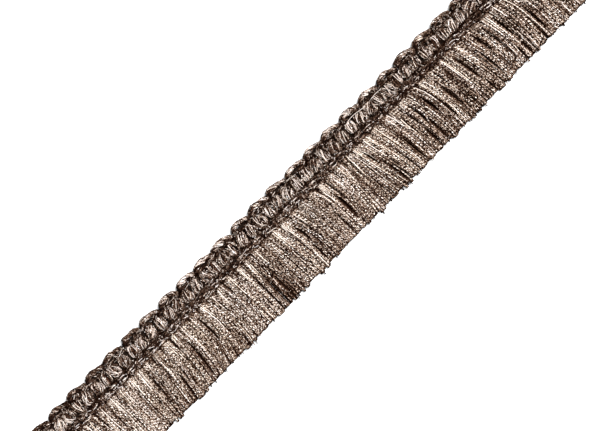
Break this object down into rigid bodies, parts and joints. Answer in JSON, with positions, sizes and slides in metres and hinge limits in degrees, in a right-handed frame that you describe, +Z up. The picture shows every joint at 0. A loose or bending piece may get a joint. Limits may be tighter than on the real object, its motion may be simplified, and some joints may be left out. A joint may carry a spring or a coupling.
{
  "type": "brush fringe trimming",
  "caption": "Cut length of brush fringe: a dense cut-yarn skirt under a scalloped gimp heading tied with chain stitches, lying flat.",
  "frame": {"origin": "middle of the heading's flat back, the face that is sewn or glued down, on the surface the trimming lies on", "axes": "+X along the trimming, +Y across it towards the scalloped edge of the heading, -Y towards the cut ends of the brush, +Z up out of the face side"},
  "size_m": [0.3016, 0.0378, 0.0042],
  "materials": {
    "ground_yarn": "matt dark brown knitted ground",
    "gimp_yarn": "lustrous taupe viscose gimp",
    "chain_yarn": "dark brown chain stitch yarn with a slight lustre",
    "loop_yarn": "dark taupe knitted loops with a slight lustre",
    "brush_yarn": "lustrous taupe viscose brush yarn, cut ends"
  },
  "bodies": {
    "root": {"heading_band": "ground_yarn", "gimp_cord": "gimp_yarn", "outer_chain": "chain_yarn", "inner_chain": "chain_yarn", "loop_row": "loop_yarn", "brush": "brush_yarn"}
  },
  "joints": []
}
